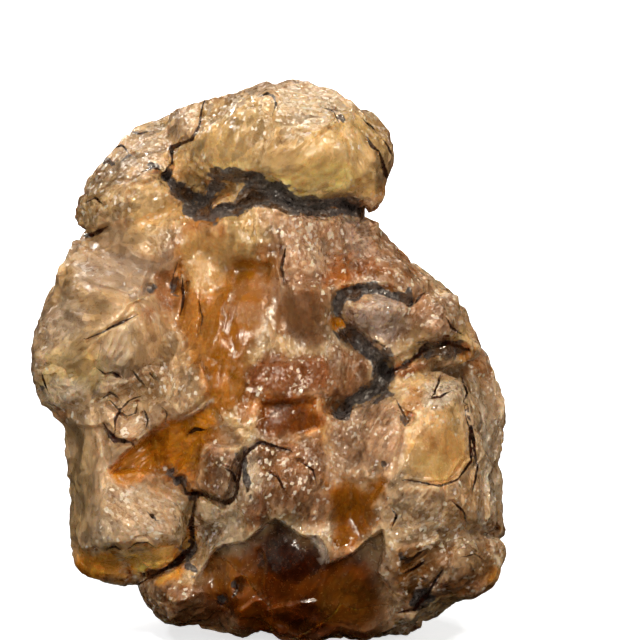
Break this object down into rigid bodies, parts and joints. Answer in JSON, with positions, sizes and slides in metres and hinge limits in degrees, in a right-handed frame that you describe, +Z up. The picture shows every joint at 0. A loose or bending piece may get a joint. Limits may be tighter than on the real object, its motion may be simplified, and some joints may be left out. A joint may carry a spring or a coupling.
{
  "type": "rough diamond",
  "caption": "Uncut champagne-brown diamond, a lumpy resorbed cluster with a capped top and open dark seams, leaning back a little and standing on a small flat cleavage face.",
  "frame": {"origin": "centre of the stone's footprint box, on the plane of its rest face", "axes": "+Z up along the stone's height, -Y towards the face with the two dark seams, +X to that face's right"},
  "size_m": [0.0072, 0.0058, 0.0083],
  "materials": {
    "diamond": "frosted and etched, translucent honey to cognac brown, glassy in its hollows"
  },
  "bodies": {
    "root": {"rough_diamond": "diamond"}
  },
  "joints": []
}
